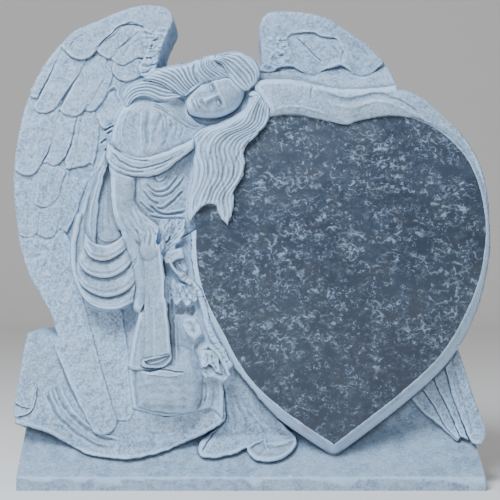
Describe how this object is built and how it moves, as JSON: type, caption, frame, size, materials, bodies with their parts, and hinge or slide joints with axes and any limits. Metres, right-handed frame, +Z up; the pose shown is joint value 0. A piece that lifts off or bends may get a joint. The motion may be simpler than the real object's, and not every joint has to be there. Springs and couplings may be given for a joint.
{
  "type": "angel headstone",
  "caption": "Upright headstone cut from one block: a kneeling winged angel leans over a large heart tablet on a sloped plinth.",
  "frame": {"origin": "centre of the bounding box at ground level, under the plinth", "axes": "+Z up; the carved front faces -Y and the flat back +Y; +X is to the right seen from the front, from the angel towards the heart"},
  "size_m": [0.9444, 0.26, 0.9475],
  "materials": {
    "stone": "honed and tooled pale blue-grey limestone, matt",
    "polished_face": "the same limestone polished, dark slate blue with small pale flecks, glossy"
  },
  "bodies": {
    "root": {"angel_headstone": "stone"}
  },
  "joints": []
}
